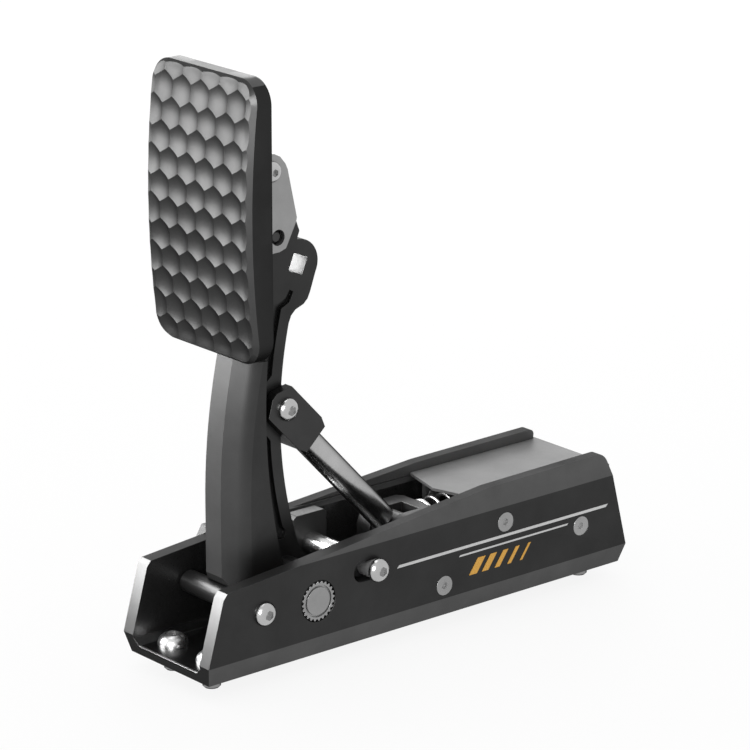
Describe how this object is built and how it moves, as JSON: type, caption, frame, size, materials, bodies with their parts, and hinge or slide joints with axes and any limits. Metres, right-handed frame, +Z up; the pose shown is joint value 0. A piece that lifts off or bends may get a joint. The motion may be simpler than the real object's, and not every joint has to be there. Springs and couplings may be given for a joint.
{
  "type": "sim racing pedal",
  "caption": "Floor-standing sim racing pedal: a tall arm with a honeycomb pad swings in a metal channel and drives a push rod against a return spring.",
  "frame": {"origin": "middle of the module, on the floor under the bolt ends", "axes": "+Z up, +Y from the driver's side towards the rear of the channel, +X towards the driver's right"},
  "size_m": [0.0716, 0.2424, 0.2663],
  "materials": {
    "channel_black": "satin black coating",
    "deck_grey": "satin grey coating",
    "arm_black": "satin black coating",
    "pad_black": "matte black",
    "bracket_grey": "bead blasted",
    "black_steel": "black oxide",
    "bright_steel": "bright",
    "bolt_steel": "satin zinc",
    "screw_grey": "satin grey",
    "rod_dark": "dark polished",
    "foot_chrome": "polished",
    "cap_grey": "satin",
    "black_plastic": "matte",
    "bronze": "sintered",
    "board_green": "solder mask",
    "socket_ivory": "moulded"
  },
  "bodies": {
    "base": {"chassis_channel": "channel_black", "deck_cover": "deck_grey", "side_screws": "screw_grey", "rest_rod": "black_steel", "rest_bolts": "bolt_steel", "axle_bushes": "bronze", "sensor_cover": "black_plastic", "sensor_screws": "bright_steel", "sensor_board": "board_green", "signal_socket": "socket_ivory", "slide_block": "black_plastic", "spring_anchor": "black_plastic", "spring_seat": "bright_steel", "return_spring": "bright_steel", "floor_bolts": "foot_chrome"},
    "bar": {"cross_bar": "bright_steel", "bar_carriers": "black_plastic", "slot_bushes": "bolt_steel", "slot_bolts": "bolt_steel"},
    "pedal": {"pedal_arm": "arm_black", "pivot_axle": "bright_steel", "axle_magnet": "bright_steel", "pivot_cap": "cap_grey", "axle_grub": "black_steel", "pivot_spacers": "cap_grey", "pad_bracket": "bracket_grey", "bracket_bolts": "bolt_steel", "bracket_nut": "black_steel", "pedal_pad": "pad_black", "pad_screws": "bright_steel"},
    "strut": {"push_clevis": "arm_black", "clevis_bolt": "bolt_steel", "clevis_nut": "black_steel", "push_rod": "rod_dark", "rod_end": "bolt_steel", "eye_bush": "bronze"},
    "yoke": {"spring_yoke": "arm_black", "yoke_pin": "bright_steel", "guide_rod": "bright_steel"}
  },
  "joints": [
    {"name": "pedal_swing", "type": "hinge", "parent": "base", "child": "pedal", "pos_m": [0, -0.06135, 0.0324], "axis": [-1, 0, 0], "range_deg": [0, 12], "stiffness_Nm_per_rad": 25, "springref_deg": -8.59},
    {"name": "strut_pivot", "type": "hinge", "parent": "pedal", "child": "strut", "pos_m": [0, -0.06235, 0.1144], "axis": [-1, 0, 0], "range_deg": [-13.1, 0]},
    {"name": "yoke_slide", "type": "slide", "parent": "base", "child": "yoke", "axis": [0, 1, 0], "range_m": [0, 0.0185], "deforming": ["return_spring"]},
    {"name": "bar_adjust", "type": "slide", "parent": "base", "child": "bar", "axis": [0, 1, 0], "range_m": [-0.007, 0]}
  ],
  "couplings": [
    {"joint": "strut_pivot", "follows": "pedal_swing", "ratio": -1.0879},
    {"joint": "yoke_slide", "follows": "pedal_swing", "m_per_rad": 0.08822}
  ]
}
